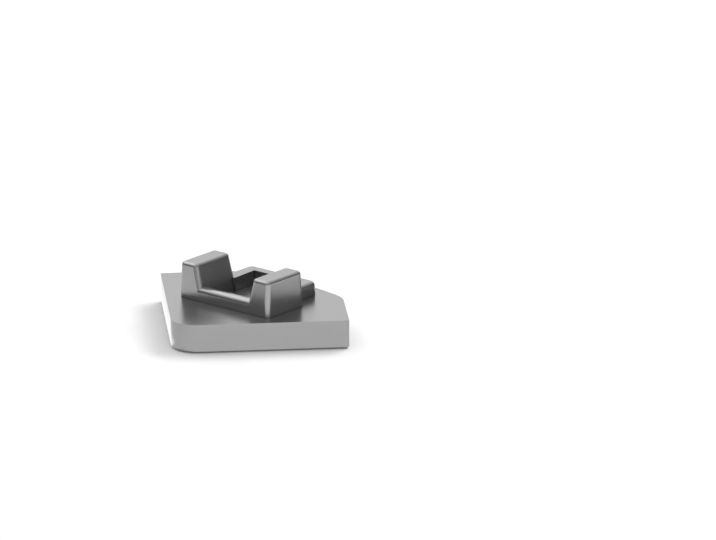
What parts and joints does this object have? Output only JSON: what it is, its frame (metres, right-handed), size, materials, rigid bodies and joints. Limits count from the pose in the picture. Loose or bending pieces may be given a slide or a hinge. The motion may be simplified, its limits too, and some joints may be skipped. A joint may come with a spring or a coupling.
{
  "type": "profile end cap",
  "caption": "End cap for a right-angled corner profile with a bowed cover: a thick plate with a two-pronged plug.",
  "frame": {"origin": "middle of the plate's length and width, on the outer face that the cap lies on", "axes": "+Z from the outer face to the plug; +Y along the line of symmetry, from the right-angled corner to the bowed side; +X across, towards the end of one leg"},
  "size_m": [0.0268, 0.019, 0.0071],
  "materials": {
    "satin_metal": "satin, as die cast"
  },
  "bodies": {
    "root": {"end_cap": "satin_metal"}
  },
  "joints": []
}
